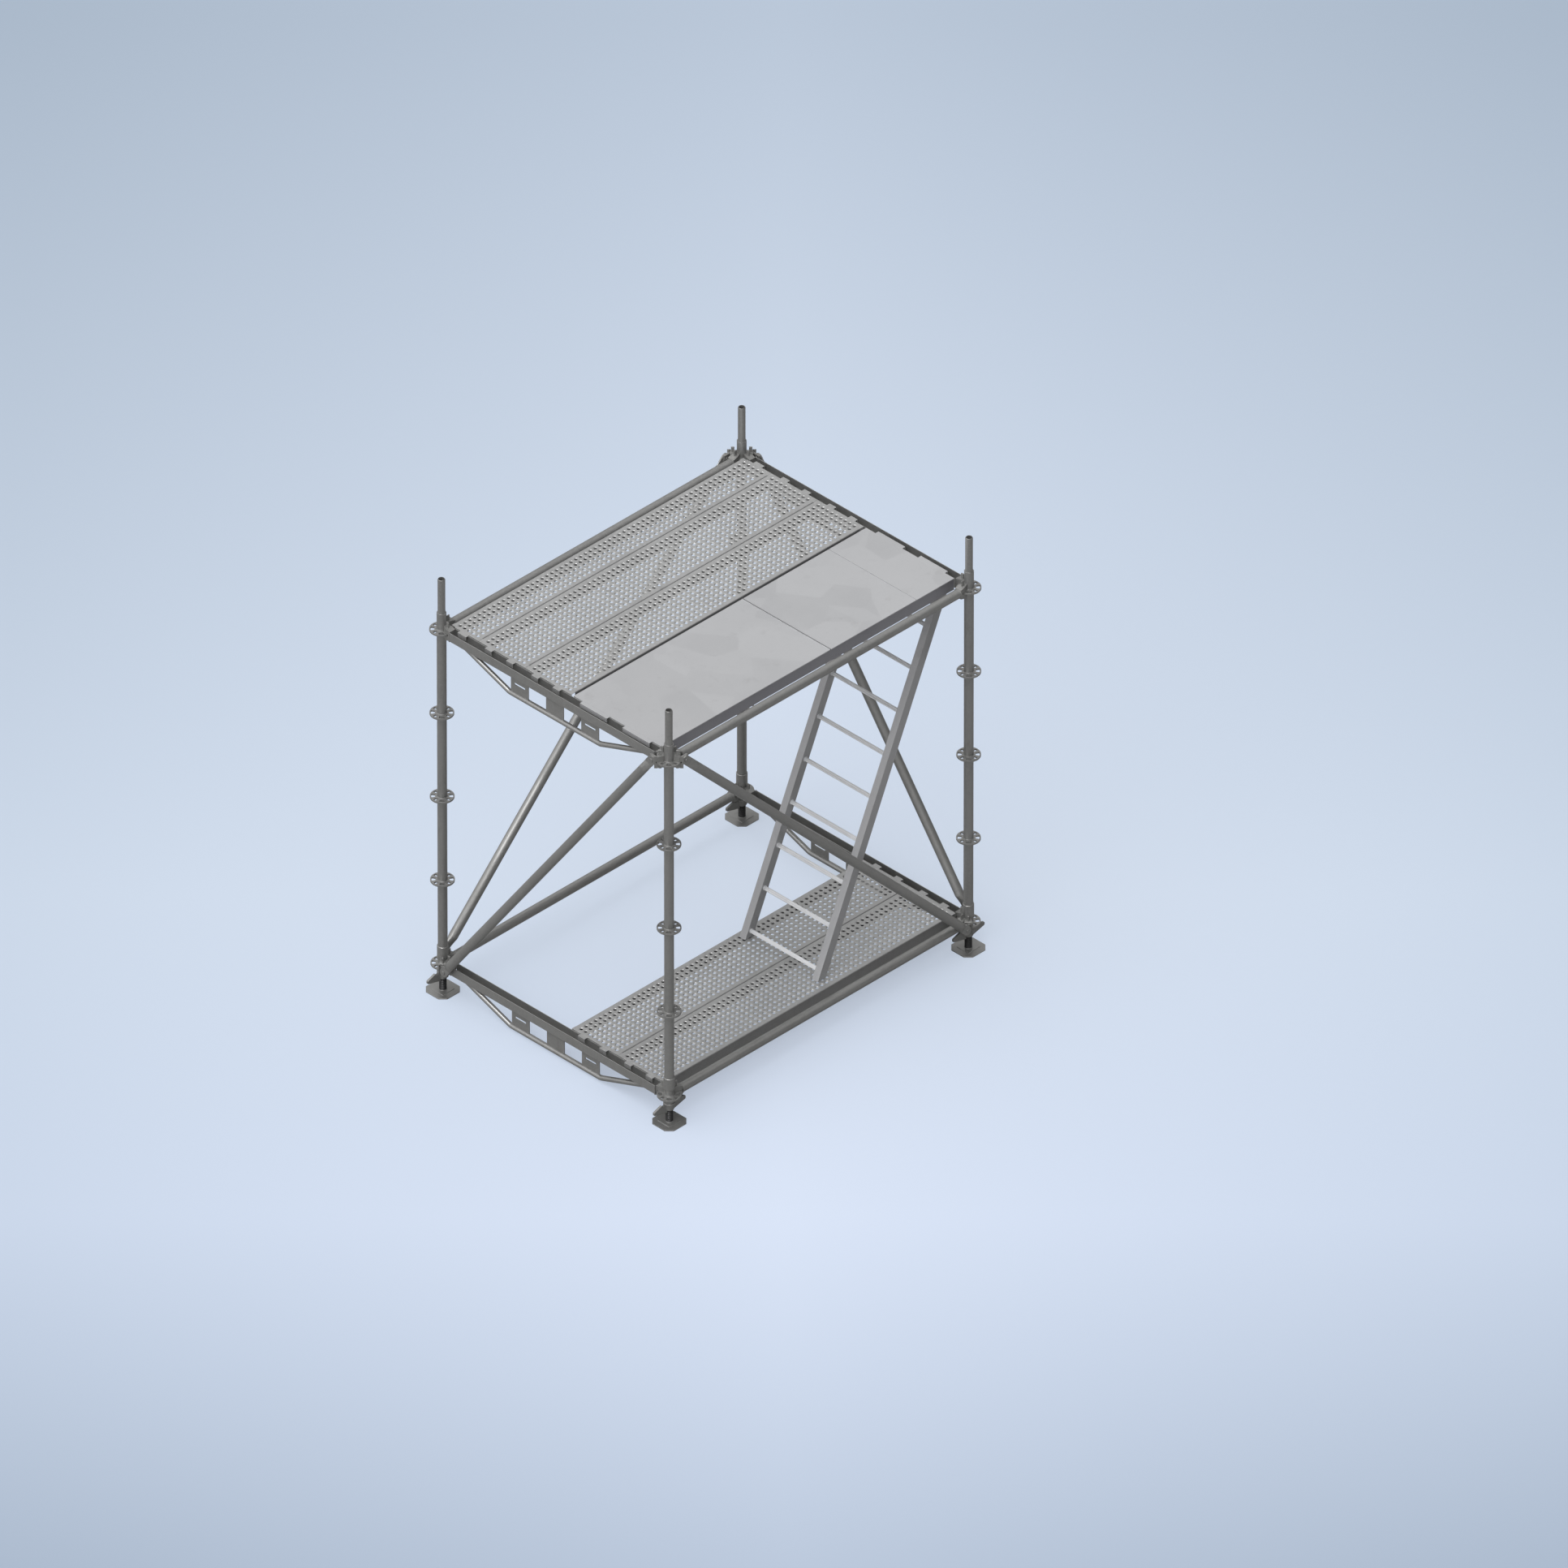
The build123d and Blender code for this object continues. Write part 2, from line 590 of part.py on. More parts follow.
def ladder_stile(station):
    """Box-section stile cut level at the foot, bored for its pivot pin."""
    bar = stile_bar(STILE_DEPTH, STILE_WIDTH, STILE_DEPTH / 2)
    inner_depth = STILE_DEPTH - 2 * STILE_WALL
    bar -= stile_bar(inner_depth, STILE_WIDTH - 2 * STILE_WALL, inner_depth / 2)
    bar -= Pos(0, 0, LADDER_REACH) * Rot(90, 0, 0) * Cylinder(LADDER_PIN_R + PIN_CLEARANCE, 2 * STILE_WIDTH)
    stile = Pos(0, across(station), 0) * on_ladder(bar)
    under_foot = block(
        (FOOT_X - 2 * STILE_DEPTH, FOOT_X + 2 * STILE_DEPTH),
        (-BAY_WIDTH, BAY_WIDTH),
        (FOOT_Z - 2 * STILE_SPARE, FOOT_Z),
    )
    return stile - under_foot


def rung(index):
    inner_faces = [across(STILE_STATIONS[1]) + STILE_WIDTH / 2, across(STILE_STATIONS[0]) - STILE_WIDTH / 2]
    tube = ring(RUNG_R, RUNG_R - RUNG_WALL, inner_faces[0], inner_faces[1])
    lying = Rot(-90, 0, 0) * tube
    return on_ladder(Pos(0, 0, FIRST_RUNG + index * RUNG_PITCH) * lying)


def hanger_station(index):
    """Y of a hanger's middle, just inside its stile."""
    inward = 1 if index == 0 else -1
    shift = STILE_WIDTH / 2 + HANGER_GAP + HANGER_THICKNESS / 2
    return across(STILE_STATIONS[index] + inward * shift)


def ladder_hanger(index):
    """Plate hanging from the end crossbar, round about the ladder's pivot."""
    top = UPPER_LEVEL + DECK_TOP - ACCESS_PANEL - CROSSBAR_HEIGHT
    drop = top - PIVOT_Z
    side = Circle(HANGER_HALF_WIDTH) + Pos(0, drop / 2) * Rectangle(2 * HANGER_HALF_WIDTH, drop)
    plate = extrude(Plane.XZ * side, HANGER_THICKNESS / 2, both=True)
    plate -= Rot(90, 0, 0) * Cylinder(LADDER_PIN_R, 2 * HANGER_THICKNESS)
    return Pos(PIVOT_X, hanger_station(index), PIVOT_Z) * plate


def ladder_pin(index):
    """Pivot pin from the hanger through the stile, with a flat head outside."""
    outward = 1 if index == 0 else -1
    start = hanger_station(index) - outward * HANGER_THICKNESS / 2
    end = across(STILE_STATIONS[index]) + outward * (STILE_WIDTH / 2 + PIN_STAND_OUT)
    middle = (start + end) / 2
    shank = Pos(PIVOT_X, middle, PIVOT_Z) * Rot(90, 0, 0) * Cylinder(LADDER_PIN_R, abs(end - start))
    head_middle = Pos(PIVOT_X, end + outward * PIN_HEAD_LENGTH / 2, PIVOT_Z)
    head = head_middle * Rot(90, 0, 0) * Cylinder(PIN_HEAD_R, PIN_HEAD_LENGTH)
    return shank + head


# ---- Screw jacks ----

def base_jack():
    """Square foot plate with cut corners and a raised middle, and the hollow spindle welded upright on it."""
    outline = chamfer(Rectangle(PLATE_SIDE, PLATE_SIDE).vertices(), PLATE_CHAMFER)
    pad_top = PLATE_THICKNESS + PAD_THICKNESS
    plate = extrude(outline, PLATE_THICKNESS) + extrude(Rectangle(PAD_SIDE, PAD_SIDE), pad_top)
    spindle = ring(SPINDLE_R, SPINDLE_R - SPINDLE_WALL, pad_top, SPINDLE_TOP)
    return [plate, spindle]


def wing_nut():
    """Tapered nut under the collar with two wings along X."""
    top = LOWER_LEVEL - COLLAR_DROP - NUT_GAP
    bottom = top - NUT_HEIGHT
    wing = Polygon(
        (WING_ROOT_R, WING_ROOT_BOTTOM), (WING_TIP_R, WING_TIP_BOTTOM), (WING_TIP_R, WING_TIP_TOP),
        (WING_EAR_R, WING_EAR_TOP), (WING_NOTCH_R, WING_NOTCH_TOP), (WING_ROOT_R, WING_NOTCH_TOP),
        align=None,
    )
    blade = Pos(0, 0, LOWER_LEVEL) * extrude(Plane.XZ * wing, WING_THICKNESS / 2, both=True)
    blade = fillet(blade.edges().filter_by(Axis.Y).group_by(Axis.X)[-1], WING_TIP_FILLET)
    outline = Polyline(
        (0, bottom), (NUT_FOOT_R, bottom), (NUT_R, bottom + NUT_HEIGHT / 2), (NUT_R, top - NUT_CHAMFER),
        (NUT_R - NUT_CHAMFER, top), (0, top),
        close=True,
    )
    body = revolve(Plane.XZ * make_face(outline), Axis.Z)
    body += blade
    body += Rot(0, 0, 180) * blade
    return body - Cylinder(SPINDLE_R + NUT_THREAD_GAP, 2 * LOWER_LEVEL)


# ---- Assembly ----

def at_corner(name, shape):
    x, y = CORNERS[name]
    return Pos(x, y, 0) * shape


def write_standards():
    disc = rosette()
    for name in CORNERS:
        save(f"standard_{name}", at_corner(name, standard()))
    save("spigots", *[at_corner(name, spigot()) for name in CORNERS])
    save("base_collars", *[at_corner(name, base_collar()) for name in CORNERS])
    save("rosettes", *[Pos(0, 0, z) * at_corner(name, disc) for name in CORNERS for z in LEVELS])


def write_jacks():
    for name in CORNERS:
        save(f"base_jack_{name}", *[at_corner(name, piece) for piece in base_jack()])
        save(f"wing_nut_{name}", at_corner(name, wing_nut()))


def write_ledgers():
    """Tube ledgers along X, channel ledgers along Y, their heads and wedges."""
    head = ledger_head()
    key = wedge()
    heads = []
    struts = []
    gussets = []
    for level_name, level in (("lower", LOWER_LEVEL), ("upper", UPPER_LEVEL)):
        for side_name, side in (("front", -1), ("rear", 1)):
            row = side * BAY_WIDTH / 2
            left = Pos(-BAY_LENGTH / 2, row, level)
            right = Pos(BAY_LENGTH / 2, row, level) * Rot(0, 0, 180)
            save(f"ledger_{side_name}_{level_name}", Pos(0, row, level) * ledger_tube())
            save(f"wedges_ledger_{side_name}_{level_name}", left * key, right * key)
            heads += [left * head, right * head]
        for side_name, side in (("left", -1), ("right", 1)):
            column = Pos(side * BAY_LENGTH / 2, 0, level)
            front = column * Pos(0, -BAY_WIDTH / 2, 0) * Rot(0, 0, 90)
            rear = column * Pos(0, BAY_WIDTH / 2, 0) * Rot(0, 0, -90)
            save(f"channel_ledger_{side_name}_{level_name}", column * channel())
            save(f"wedges_channel_{side_name}_{level_name}", front * key, rear * key)
            heads += [front * head, rear * head]
            struts.append(column * channel_strut())
            for index in (-1, 0, 1):
                gussets.append(column * Pos(0, index * GUSSET_PITCH, 0) * gusset(index != 0))
    save("ledger_heads", *heads)
    save("channel_ledger_struts", *struts)
    save("channel_ledger_gussets", *gussets)


def write_braces():
    """One brace on each face: its foot on a left or right standard, its head on the other."""
    faces = {
        "left": ("rear_left", "front_left", Vector(-1, 0, 0)),
        "front": ("front_right", "front_left", Vector(0, -1, 0)),
        "right": ("front_right", "rear_right", Vector(1, 0, 0)),
        "rear": ("rear_left", "rear_right", Vector(0, 1, 0)),
    }
    heads = []
    rivets = []
    for name, (low_corner, high_corner, outward) in faces.items():
        low = Vector(*CORNERS[low_corner], LOWER_LEVEL)
        high = Vector(*CORNERS[high_corner], UPPER_LEVEL)
        run = Vector(high.X - low.X, high.Y - low.Y, 0).normalized()
        low_pivot = low + run * PIVOT_ALONG + outward * PIVOT_OUT
        high_pivot = high - run * PIVOT_ALONG + outward * PIVOT_OUT
        axis = high_pivot - low_pivot
        place = Plane(origin=low_pivot, x_dir=outward, z_dir=axis).location
        save(f"brace_{name}", place * brace_tube(axis.length))
        keys = []
        for post, direction in ((low, run), (high, run * -1)):
            hand = 1 if Vector(0, 0, 1).cross(direction).dot(outward) > 0 else -1
            ends = Plane(origin=post, x_dir=direction, z_dir=(0, 0, 1)).location
            heads.append(ends * brace_head(hand))
            rivets.append(ends * brace_rivet(hand))
            keys.append(ends * Rot(0, 0, 45 * hand) * wedge())
        save(f"wedges_brace_{name}", *keys)
    save("brace_heads", *heads)
    save("brace_rivets", *rivets)


def write_decks():
    """Perforated steel decks: three on the upper level, two on the lower."""
    first_wide = REAR_MARGIN + NARROW_DECK + SEAM
    step = WIDE_DECK + SEAM
    layout = {
        "deck_upper_narrow": (UPPER_LEVEL, REAR_MARGIN, NARROW_DECK),
        "deck_upper_wide_rear": (UPPER_LEVEL, first_wide, WIDE_DECK),
        "deck_upper_wide_front": (UPPER_LEVEL, first_wide + step, WIDE_DECK),
        "deck_lower_rear": (LOWER_LEVEL, LOWER_DECK_START, WIDE_DECK),
        "deck_lower_front": (LOWER_LEVEL, LOWER_DECK_START + step, WIDE_DECK),
    }
    narrow_hook = deck_hook(NARROW_DECK, (0,), NARROW_HOOK_WIDTH, END_PLATE_INSET)
    wide_hook = deck_hook(WIDE_DECK, WIDE_HOOKS, WIDE_HOOK_WIDTH)
    hooks = []
    for name, (level, start, width) in layout.items():
        place = Pos(0, across(start + width / 2), level)
        save(name, *[place * piece for piece in deck(width)])
        hook = narrow_hook if width == NARROW_DECK else wide_hook
        hooks += [place * piece for piece in both_ends(hook)]
    save("deck_hooks", *hooks)


def write_access_deck():
    place = Pos(0, across(ACCESS_START + ACCESS_WIDTH / 2), UPPER_LEVEL)
    hook = deck_hook(ACCESS_WIDTH, ACCESS_HOOKS, ACCESS_HOOK_WIDTH)
    half = CROSSBAR_WIDTH / 2
    bars = (
        DECK_END + half,
        HATCH_START / 2,
        HATCH_START - HINGE_R - half,
        HATCH_END,
        LADDER_PIVOT - LADDER_BAR_SHIFT,
    )
    save("access_deck_rails", *[place * access_rail(side) for side in (-1, 1)])
    save("access_deck_crossbars", *[place * crossbar(station) for station in bars])
    save("access_deck_panels", *[place * panel for panel in fixed_panels()])
    save("access_deck_hooks", *[place * piece for piece in both_ends(hook)])
    save("hatch", place * hatch())
    save("hatch_pin", place * hatch_pin())


def write_ladder():
    save("ladder_stiles", *[ladder_stile(station) for station in STILE_STATIONS])
    save("ladder_rungs", *[rung(index) for index in range(RUNG_COUNT)])
    save("ladder_hangers", *[ladder_hanger(index) for index in (0, 1)])
    save("ladder_pins", *[ladder_pin(index) for index in (0, 1)])


os.makedirs("parts", exist_ok=True)
write_standards()
write_jacks()
write_ledgers()
write_braces()
write_decks()
write_access_deck()
write_ladder()
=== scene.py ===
import json
from math import ceil, cos, pi, radians, sin, tan

import bmesh
import bpy
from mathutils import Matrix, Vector

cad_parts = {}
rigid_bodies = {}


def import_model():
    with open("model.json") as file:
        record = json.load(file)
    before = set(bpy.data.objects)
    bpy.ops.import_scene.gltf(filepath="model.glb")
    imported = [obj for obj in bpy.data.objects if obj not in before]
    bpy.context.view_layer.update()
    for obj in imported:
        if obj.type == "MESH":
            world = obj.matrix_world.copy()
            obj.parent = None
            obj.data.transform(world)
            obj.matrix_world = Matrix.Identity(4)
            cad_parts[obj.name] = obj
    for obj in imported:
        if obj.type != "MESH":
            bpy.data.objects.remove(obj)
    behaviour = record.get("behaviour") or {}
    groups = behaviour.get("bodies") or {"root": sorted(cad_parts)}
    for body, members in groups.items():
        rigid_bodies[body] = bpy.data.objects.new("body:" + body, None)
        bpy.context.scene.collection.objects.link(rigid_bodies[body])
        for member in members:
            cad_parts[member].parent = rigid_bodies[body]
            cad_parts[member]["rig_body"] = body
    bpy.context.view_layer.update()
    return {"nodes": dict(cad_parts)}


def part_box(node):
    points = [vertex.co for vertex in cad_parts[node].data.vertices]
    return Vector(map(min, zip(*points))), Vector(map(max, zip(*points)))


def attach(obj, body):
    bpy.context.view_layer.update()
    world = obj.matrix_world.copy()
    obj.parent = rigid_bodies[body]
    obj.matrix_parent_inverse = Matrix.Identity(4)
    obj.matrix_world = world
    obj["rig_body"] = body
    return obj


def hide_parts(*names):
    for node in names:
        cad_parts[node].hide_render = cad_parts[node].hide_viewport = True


# Looks of a modular scaffold bay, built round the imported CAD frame. Metres, Z up.

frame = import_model()

UP = Vector((0, 0, 1))
CORNERS = ("front_left", "front_right", "rear_left", "rear_right")

# Sheet metal and edges
EDGE = 0.0008                # rounding of sawn and punched edges
CAST_EDGE = 0.0018           # rounding of castings
PLATE_EDGE = 0.0003          # rounding of guillotined plate
FORMED_EDGE = 0.0012         # rounding of extrusions and thick plate
WING_EDGE = 0.0025
ROSETTE_EDGE = 0.0011
WEDGE_EDGE = 0.0010
RIVET_EDGE = 0.0015
STILE_EDGE = 0.0014
PIN_EDGE = 0.0010
HINGE_PIN_EDGE = 0.0004
FOLD = 0.004                 # outer radius of folded sheet
SHEET = 0.002
HEM = 0.0009                 # rounding of a cut sheet edge
CHANNEL_WALL = 0.003
CHANNEL_FOLD = 0.005         # outer radius of the channel ledgers' folds
CHANNEL_HEM = 0.0012

# Perforated treads
PITCH_X = 0.0332
PITCH_Y = 0.031
COLUMNS = 60
FIELD_MARGIN = 0.030         # least plain strip along each side of the holes
HOLE_SIDES = 16
HOLE_RINGS = (               # radius and height of the drawn-down rim, from the tread to its underside
    (0.0118, 0.0), (0.0104, -0.0006), (0.0088, -0.0020), (0.0076, -0.0048),
    (0.0086, -0.0052), (0.0100, -0.0034), (0.0124, -SHEET),
)

# Threads and welds
THREAD_PITCH = 0.008
THREAD_DEPTH = 0.0018
THREAD_SIDES = 40
BEAD = 0.003
ROSETTE_BEAD = 0.0028
PLATE_BEAD = 0.0026          # along channels and gussets
BEAD_RISE = 0.0006           # a bead's middle outside the tube
BEAD_SHIFT = 0.0008          # and along it, from the tube's end
BEAD_STEP = 0.0022
FOOT_BEAD = 0.002            # low enough for the wing nut at the jack's upper limit
FOOT_BEAD_RISE = 0.0006      # its middle above the plate

# Ladder rungs
RUNG_RIBS = 20
RIB_DEPTH = 0.0009
RIB_WAVE = (0.0, 0.5, 1.0, 0.5)
RUNG_COLLAR = (              # past the rung's radius, and along the rung from the stile
    (0.0028, 0.0), (0.0028, 0.0012), (0.0016, 0.0026), (-0.001, 0.0034),
)


# ---- Reading the frame ----

def cad_mesh(node):
    """The CAD node's mesh with its split corners joined, as a new bmesh."""
    mesh = bmesh.new()
    mesh.from_mesh(frame["nodes"][node].data)
    bmesh.ops.remove_doubles(mesh, verts=mesh.verts, dist=1e-6)
    return mesh


def islands(mesh):
    """Separate solids of a bmesh, as lists of vertices."""
    seen = set()
    groups = []
    for first in mesh.verts:
        if first in seen:
            continue
        seen.add(first)
        group = [first]
        for vert in group:
            for edge in vert.link_edges:
                other = edge.other_vert(vert)
                if other not in seen:
                    seen.add(other)
                    group.append(other)
        groups.append(group)
    return groups


def corners_of(verts):
    low = Vector([min(v.co[i] for v in verts) for i in range(3)])
    high = Vector([max(v.co[i] for v in verts) for i in range(3)])
    return low, high


def solid_boxes(node):
    """Lowest and highest corner of each solid in a node."""
    mesh = cad_mesh(node)
    boxes = [corners_of(group) for group in islands(mesh)]
    mesh.free()
    return boxes


def body_of(node):
    return frame["nodes"][node]["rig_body"]


# ---- Making pieces ----

def finish_mesh(mesh, sharp_angle):
    mesh.shade_smooth()
    mesh.set_sharp_from_angle(angle=radians(sharp_angle))


def add_piece(name, source, material, nodes, sharp_angle=28.0, replaced=True):
    """Turn a bmesh into an object that rides with the first node's body and stands for the nodes."""
    bmesh.ops.recalc_face_normals(source, faces=source.faces)
    mesh = bpy.data.meshes.new(name)
    source.to_mesh(mesh)
    source.free()
    mesh.materials.append(material)
    finish_mesh(mesh, sharp_angle)
    piece = bpy.data.objects.new(name, mesh)
    bpy.context.scene.collection.objects.link(piece)
    weighted = piece.modifiers.new("flat_faces", "WEIGHTED_NORMAL")
    weighted.keep_sharp = True
    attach(piece, body_of(nodes[0]))
    if replaced:
        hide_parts(*nodes)
    return piece


def round_edges(mesh, width, segments=2, above=32.0):
    """Round every edge of a bmesh that turns more than an angle."""
    bmesh.ops.dissolve_limit(mesh, angle_limit=radians(0.6), verts=mesh.verts, edges=mesh.edges)
    edges = [e for e in mesh.edges if len(e.link_faces) == 2 and e.calc_face_angle(0) > radians(above)]
    bmesh.ops.bevel(
        mesh, geom=edges, offset=width, offset_type="OFFSET", segments=segments,
        profile=0.5, affect="EDGES", clamp_overlap=True,
    )


def rounded_copy(node, material, width, segments=2, keep=None, name=None):
    """The CAD node with its edges rounded, as a new piece; keep picks solids by their corners."""
    mesh = cad_mesh(node)
    if keep is not None:
        extra = [v for group in islands(mesh) if not keep(*corners_of(group)) for v in group]
        bmesh.ops.delete(mesh, geom=extra, context="VERTS")
    round_edges(mesh, width, segments)
    return add_piece(name or f"{node}_piece", mesh, material, [node])


def grid_faces(mesh, rows, closed_rows, closed_columns):
    """Join rows of vertices into quads."""
    row_count = len(rows) if closed_rows else len(rows) - 1
    column_count = len(rows[0]) if closed_columns else len(rows[0]) - 1
    for i in range(row_count):
        here, there = rows[i], rows[(i + 1) % len(rows)]
        for j in range(column_count):
            k = (j + 1) % len(here)
            mesh.faces.new((here[j], here[k], there[k], there[j]))


def rounded_outline(points, steps=4):
    """2D outline whose corners are (x, y, radius), with the corners turned into arcs."""
    outline = []
    count = len(points)
    for index, (x, y, radius) in enumerate(points):
        corner = Vector((x, y))
        before = Vector(points[index - 1][:2])
        after = Vector(points[(index + 1) % count][:2])
        if radius == 0:
            outline.append(corner)
            continue
        to_before = (before - corner).normalized()
        to_after = (after - corner).normalized()
        half = to_before.angle(to_after) / 2
        reach = radius / tan(half)
        centre = corner + (to_before + to_after).normalized() * (radius / sin(half))
        start = corner + to_before * reach - centre
        end = corner + to_after * reach - centre
        turn = start.angle_signed(end)
        for step in range(steps + 1):
            angle = -turn * step / steps
            spun = Vector((
                start.x * cos(angle) - start.y * sin(angle), start.x * sin(angle) + start.y * cos(angle),
            ))
            outline.append(centre + spun)
    return outline


def add_prism(mesh, outline, place, low, high):
    """Closed prism: the 2D outline set by place(u, v, w), from w = low to w = high."""
    rows = [[mesh.verts.new(place(p.x, p.y, w)) for p in outline] for w in (low, high)]
    grid_faces(mesh, rows, False, True)
    for row in rows:
        mesh.faces.new(row)


def add_bead(mesh, points, closed, size=BEAD):
    """Weld bead along points, with a ripple every second point."""
    sides = 6
    rows = []
    count = len(points)
    for index, point in enumerate(points):
        if closed:
            along = points[(index + 1) % count] - points[index - 1]
        else:
            along = points[min(index + 1, count - 1)] - points[max(index - 1, 0)]
        along.normalize()
        side = along.cross(UP if abs(along.z) < 0.9 else Vector((1, 0, 0))).normalized()
        up = side.cross(along)
        radius = size * (1.0 if index % 2 else 0.82)
        turn = [2 * pi * step / sides for step in range(sides)]
        rows.append([mesh.verts.new(point + (side * cos(a) + up * sin(a)) * radius) for a in turn])
    grid_faces(mesh, rows, closed, True)
    if not closed:
        mesh.faces.new(rows[0])
        mesh.faces.new(rows[-1])


def circle_points(centre, axis, radius, step=BEAD_STEP):
    count = 2 * ceil(pi * radius / step)
    x_axis = axis.orthogonal().normalized()
    y_axis = axis.cross(x_axis).normalized()
    turn = [2 * pi * index / count for index in range(count)]
    return [centre + (x_axis * cos(a) + y_axis * sin(a)) * radius for a in turn]


def line_points(start, end, step=BEAD_STEP):
    count = max(3, ceil((end - start).length / step))
    return [start.lerp(end, index / count) for index in range(count + 1)]


# ---- Materials ----

def add_node(tree, kind, **inputs):
    node = tree.nodes.new(kind)
    for name, value in inputs.items():
        socket = node.inputs[name.replace("_", " ")]
        if isinstance(value, bpy.types.NodeSocket):
            tree.links.new(value, socket)
        else:
            socket.default_value = value
    return node


def stretched(tree, scale):
    """Object coordinates stretched by a scale on each axis."""
    coordinates = tree.nodes.new("ShaderNodeTexCoord")
    mapping = add_node(tree, "ShaderNodeMapping", Vector=coordinates.outputs["Object"], Scale=scale)
    return mapping.outputs[0]


def noise(tree, scale, detail=4.0, stretch=(1, 1, 1), roughness=0.55):
    vector = stretched(tree, stretch)
    node = add_node(
        tree, "ShaderNodeTexNoise", Vector=vector, Scale=scale, Detail=detail, Roughness=roughness,
    )
    return node.outputs[0]


def spread(tree, value, low, high, to_low, to_high):
    node = add_node(
        tree, "ShaderNodeMapRange", Value=value, From_Min=low, From_Max=high, To_Min=to_low, To_Max=to_high,
    )
    return node.outputs[0]


def blend_colours(tree, factor, first, second, kind="MIX"):
    node = tree.nodes.new("ShaderNodeMix")
    node.data_type = "RGBA"
    node.blend_type = kind
    for index, value in ((0, factor), (6, first), (7, second)):
        if isinstance(value, bpy.types.NodeSocket):
            tree.links.new(value, node.inputs[index])
        elif index == 0:
            node.inputs[index].default_value = value
        else:
            node.inputs[index].default_value = (*value, 1)
    return node.outputs[2]


def spangle(tree, size):
    """Random value for each crystal of a zinc coat."""
    cells = add_node(tree, "ShaderNodeTexVoronoi", Vector=stretched(tree, (1, 1, 1)), Scale=1 / size)
    split = add_node(tree, "ShaderNodeSeparateColor", Color=cells.outputs["Color"])
    return split.outputs[0]


def metal(name, dark, pale, stain, roughness, metallic, crystal=0.009, grain=(1, 1, 1), bump=0.12):
    """Coated or bare metal: crystals or grain, wide patches, streaks that run down, and dull stains."""
    material = bpy.data.materials.new(name)
    material.use_nodes = True
    tree = material.node_tree
    shader = tree.nodes["Principled BSDF"]
    crystals = spangle(tree, crystal)
    patches = noise(tree, 3.5, 6.0)
    streaks = noise(tree, 1.0, 5.0, (38, 38, 1.6))
    fine = noise(tree, 260.0, 3.0, grain)
    tone = blend_colours(tree, spread(tree, crystals, 0, 1, 0.25, 0.75), dark, pale)
    tone = blend_colours(tree, spread(tree, patches, 0.35, 0.65, 0.0, 0.55), tone, pale)
    tone = blend_colours(tree, spread(tree, streaks, 0.55, 0.75, 0.0, 0.35), tone, dark)
    stains = noise(tree, 9.0, 8.0, (1, 1, 0.6), 0.65)
    tone = blend_colours(tree, spread(tree, stains, 0.60, 0.72, 0.0, 0.45), tone, stain)
    tree.links.new(tone, shader.inputs["Base Color"])
    dull = add_node(tree, "ShaderNodeMath", Value=crystals)
    dull.operation = "MULTIPLY_ADD"
    dull.inputs[1].default_value = 0.10
    tree.links.new(spread(tree, fine, 0.3, 0.7, roughness - 0.07, roughness + 0.05), dull.inputs[2])
    tree.links.new(dull.outputs[0], shader.inputs["Roughness"])
    shader.inputs["Metallic"].default_value = metallic
    relief = add_node(tree, "ShaderNodeBump", Strength=bump, Distance=0.0006, Height=fine)
    tree.links.new(relief.outputs[0], shader.inputs["Normal"])
    return material


GALVANISED = metal(
    "galvanised_steel", (0.262, 0.262, 0.258), (0.345, 0.345, 0.340), (0.205, 0.198, 0.188), 0.36, 0.66,
)
CASTING = metal(
    "cast_steel", (0.235, 0.235, 0.231), (0.315, 0.315, 0.308), (0.185, 0.178, 0.168), 0.48, 0.64,
    crystal=0.004, bump=0.45,
)
DECK_STEEL = metal(
    "deck_steel", (0.355, 0.357, 0.357), (0.470, 0.473, 0.473), (0.30, 0.30, 0.295), 0.42, 0.50,
    crystal=0.012,
)
# Painted shade: a darker copy of the deck steel for the folded sides of the same sheet, standing in for the
# shade on them
DECK_STEEL_DARKENED_AS_SHADE = metal(
    "deck_steel_darkened_as_shade", (0.26, 0.26, 0.262), (0.35, 0.35, 0.352), (0.21, 0.207, 0.20), 0.44, 0.60,
    crystal=0.012,
)
# Aluminium's own bluish tone, darkened as painted shade: a dark copy of the extrusion aluminium standing in
# for the shade on the rails' sides and on the crossbars seen through the hatch seam
ALUMINIUM_DARKENED_AS_SHADE = metal(
    "aluminium_rail_darkened_as_shade", (0.27, 0.27, 0.30), (0.34, 0.34, 0.37), (0.23, 0.23, 0.25), 0.40, 0.60,
    crystal=0.25, grain=(0.05, 1, 1),
)
PLATE = metal(
    "aluminium_plate", (0.462, 0.467, 0.481), (0.530, 0.535, 0.549), (0.41, 0.41, 0.42), 0.44, 0.40,
    crystal=0.25, grain=(0.05, 1, 1),
)
EXTRUSION = metal(
    "aluminium_extrusion", (0.395, 0.397, 0.411), (0.472, 0.475, 0.489), (0.32, 0.32, 0.33), 0.36, 0.60,
    crystal=0.25, grain=(1, 1, 0.05),
)
RUNG_METAL = metal(
    "aluminium_rung", (0.76, 0.77, 0.79), (0.86, 0.87, 0.89), (0.64, 0.64, 0.65), 0.34, 0.50,
    crystal=0.25, grain=(1, 0.05, 1),
)
DARK_STEEL = metal(
    "dark_steel", (0.030, 0.030, 0.031), (0.048, 0.048, 0.050), (0.055, 0.046, 0.038), 0.40, 0.60,
    crystal=0.004,
)


